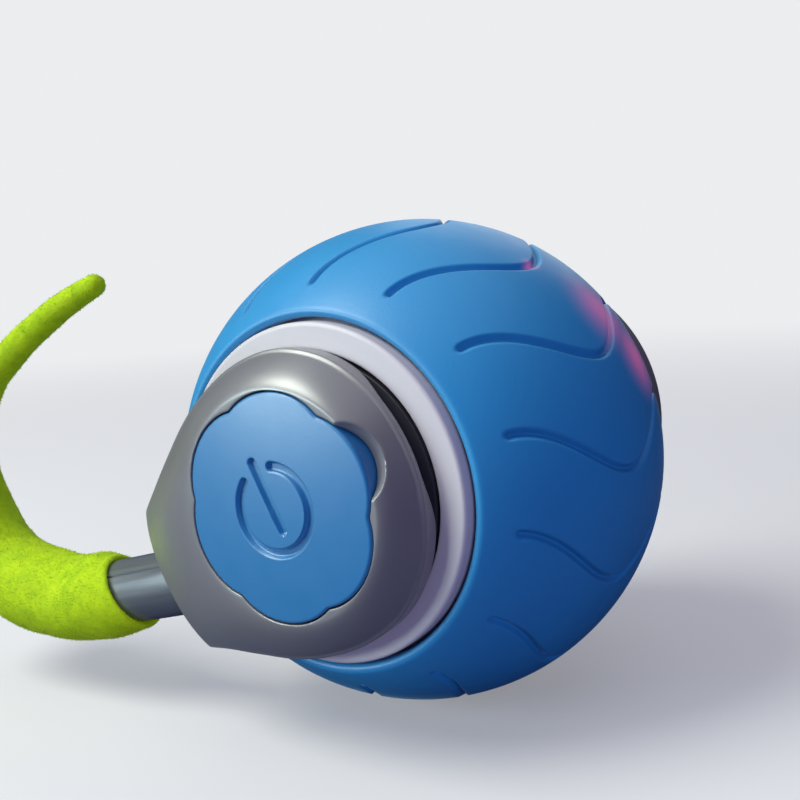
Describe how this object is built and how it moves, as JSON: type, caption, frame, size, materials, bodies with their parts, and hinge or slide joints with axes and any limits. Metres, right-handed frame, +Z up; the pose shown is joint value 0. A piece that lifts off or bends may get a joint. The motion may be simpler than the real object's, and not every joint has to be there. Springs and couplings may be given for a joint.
{
  "type": "self rolling cat ball",
  "caption": "Motor-driven cat ball with a grooved silicone tyre, teardrop side covers, a flower-shaped power button and a curled plush tail on a tube stem.",
  "frame": {"origin": "the middle of the tyre's contact with the floor, straight below the ball's centre", "axes": "+Z up; the axle lies along Y, with the power button towards -Y; the tail leaves the ball towards -X"},
  "size_m": [0.0735, 0.045, 0.045],
  "materials": {
    "blue_silicone": "satin moulded silicone",
    "blue_plastic": "satin moulded plastic",
    "white_shell": "satin moulded plastic",
    "grey_cover": "smooth grey with a soft sheen",
    "far_grey": "smooth grey with a soft sheen",
    "dark_hub": "matt dark grey",
    "grey_stem": "satin tube with fine drawn lines",
    "lime_plush": "short dense pile",
    "black_plastic": "matt black",
    "red_plastic": "satin red",
    "nylon": "natural nylon",
    "steel": "plain steel",
    "board": "solder resist green",
    "cell_wrap": "foil pouch cell",
    "red_lens": "clear tinted resin",
    "violet_lens": "clear tinted resin"
  },
  "bodies": {
    "core": {"near_hub": "dark_hub", "far_hub": "dark_hub", "gear_plate": "dark_hub", "chassis_tray": "dark_hub", "battery": "cell_wrap", "counterweight": "steel", "drive_motor": "steel", "motor_gearbox": "steel", "circuit_board": "board", "charge_board": "board", "switch_body": "black_plastic", "led_red": "red_lens", "led_violet": "violet_lens", "usb_port": "steel", "idler_axle": "steel", "button_spring": "steel", "battery_lead_red": "red_plastic", "battery_lead_black": "black_plastic", "motor_lead_red": "red_plastic", "motor_lead_black": "black_plastic", "near_hub_screw_1": "steel", "near_hub_screw_2": "steel", "near_hub_screw_3": "steel", "far_hub_screw_1": "steel", "far_hub_screw_2": "steel", "far_hub_screw_3": "steel", "chassis_screw_1": "steel", "chassis_screw_2": "steel"},
    "rolling_shell": {"tread_sleeve": "blue_silicone", "near_shell": "white_shell", "far_shell": "white_shell", "joint_ring": "white_shell", "ring_gear": "nylon", "near_bush": "nylon", "far_bush": "nylon"},
    "idler": {"idler_gear": "nylon"},
    "pinion": {"motor_pinion": "nylon"},
    "button": {"power_button": "blue_plastic", "button_clip": "steel"},
    "plunger": {"switch_plunger": "red_plastic"},
    "bracket": {"tail_bracket": "grey_cover"},
    "tail": {"tail_stem": "grey_stem", "tail_plush": "lime_plush", "tail_wire": "steel"},
    "side_cover": {"far_cover": "far_grey"},
    "cap": {"charge_cap": "blue_plastic"}
  },
  "joints": [
    {"name": "shell_spin", "type": "hinge", "parent": "core", "child": "rolling_shell", "pos_m": [0, 0, 0.0225], "axis": [0, 1, 0], "continuous": true},
    {"name": "idler_spin", "type": "hinge", "parent": "core", "child": "idler", "pos_m": [0, 0, 0.03188], "axis": [0, 1, 0], "continuous": true},
    {"name": "motor_spin", "type": "hinge", "parent": "core", "child": "pinion", "pos_m": [0, 0, 0.02318], "axis": [0, 1, 0], "continuous": true},
    {"name": "button_press", "type": "slide", "parent": "core", "child": "button", "axis": [0, 1, 0], "range_m": [0, 0.0006], "stiffness_N_per_m": 400, "springref_m": -0.0005, "deforming": ["button_spring"]},
    {"name": "plunger_press", "type": "slide", "parent": "core", "child": "plunger", "axis": [0, 1, 0], "range_m": [0, 0.0006]},
    {"name": "bracket_pull", "type": "slide", "parent": "core", "child": "bracket", "axis": [0, -1, 0], "range_m": [0, 0.008]},
    {"name": "tail_pull", "type": "slide", "parent": "bracket", "child": "tail", "axis": [-0.9703, 0, -0.2419], "range_m": [0, 0.008]},
    {"name": "far_cover_pull", "type": "slide", "parent": "core", "child": "side_cover", "axis": [0, 1, 0], "range_m": [0, 0.008]},
    {"name": "cap_pull", "type": "slide", "parent": "core", "child": "cap", "axis": [0, 1, 0], "range_m": [0, 0.01]}
  ],
  "couplings": [
    {"joint": "idler_spin", "follows": "shell_spin", "ratio": 3.7778},
    {"joint": "motor_spin", "follows": "shell_spin", "ratio": -8.3951},
    {"joint": "plunger_press", "follows": "button_press", "ratio": 1}
  ]
}
